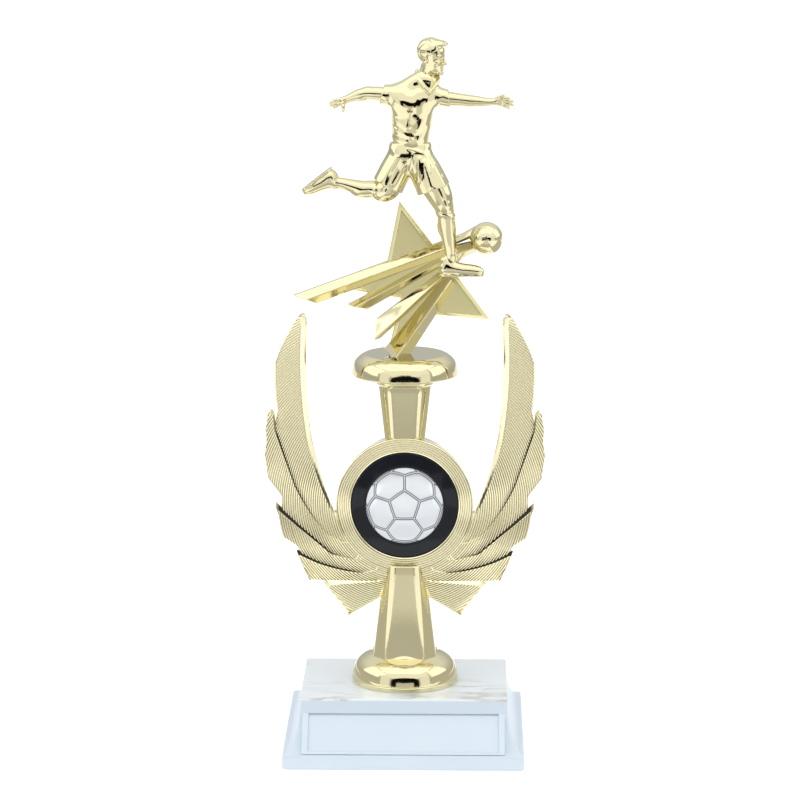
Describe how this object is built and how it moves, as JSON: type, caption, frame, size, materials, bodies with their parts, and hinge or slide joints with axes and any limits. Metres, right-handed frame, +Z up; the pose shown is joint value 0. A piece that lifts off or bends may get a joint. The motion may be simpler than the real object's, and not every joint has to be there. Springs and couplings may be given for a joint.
{
  "type": "figure trophy",
  "caption": "Metallised sports figure with star, comet streaks and ball on a winged medallion riser, clamped by a rod to a coved white marble-look base.",
  "frame": {"origin": "centre of the underside of the base, at the bottom of the bounding box", "axes": "+Z up along the clamping rod, the front with the medallion faces -Y, +X to the viewer's right"},
  "size_m": [0.1334, 0.1098, 0.3379],
  "materials": {
    "gold_bright": "vacuum-metallised pale gold, mirror bright, lacquered",
    "gold_satin": "vacuum-metallised pale gold over a satin, fine-grained or ridged surface",
    "base_white": "moulded bluish white, faintly pebbled",
    "marble_sheet": "white marble print with grey-beige veins, satin",
    "ballast": "cast cement, rough",
    "felt": "dark green felt",
    "zinc_steel": "zinc plated",
    "tape": "double-sided adhesive disc",
    "bezel_black": "polished near-black",
    "disc_silver": "metallised silver-white with embossed seams"
  },
  "bodies": {
    "root": {"base_shell": "base_white", "base_top": "marble_sheet", "base_ballast": "ballast", "base_pad": "felt", "check_rod": "zinc_steel", "bottom_nut": "zinc_steel", "lock_washer": "zinc_steel", "flat_washer": "zinc_steel", "riser_foot": "gold_bright", "riser_stem": "gold_bright", "riser_hub": "gold_satin", "riser_neck": "gold_bright", "left_wing": "gold_satin", "right_wing": "gold_satin", "insert_tape": "tape", "insert_bezel": "bezel_black", "insert_disc": "disc_silver", "figure_base": "gold_bright", "figure_nut": "zinc_steel", "star": "gold_satin", "streak_one": "gold_bright", "streak_two": "gold_bright", "streak_three": "gold_bright", "streak_four": "gold_bright", "streak_web": "gold_satin", "ball": "gold_bright", "ball_arm": "gold_bright", "player": "gold_bright"}
  },
  "joints": []
}
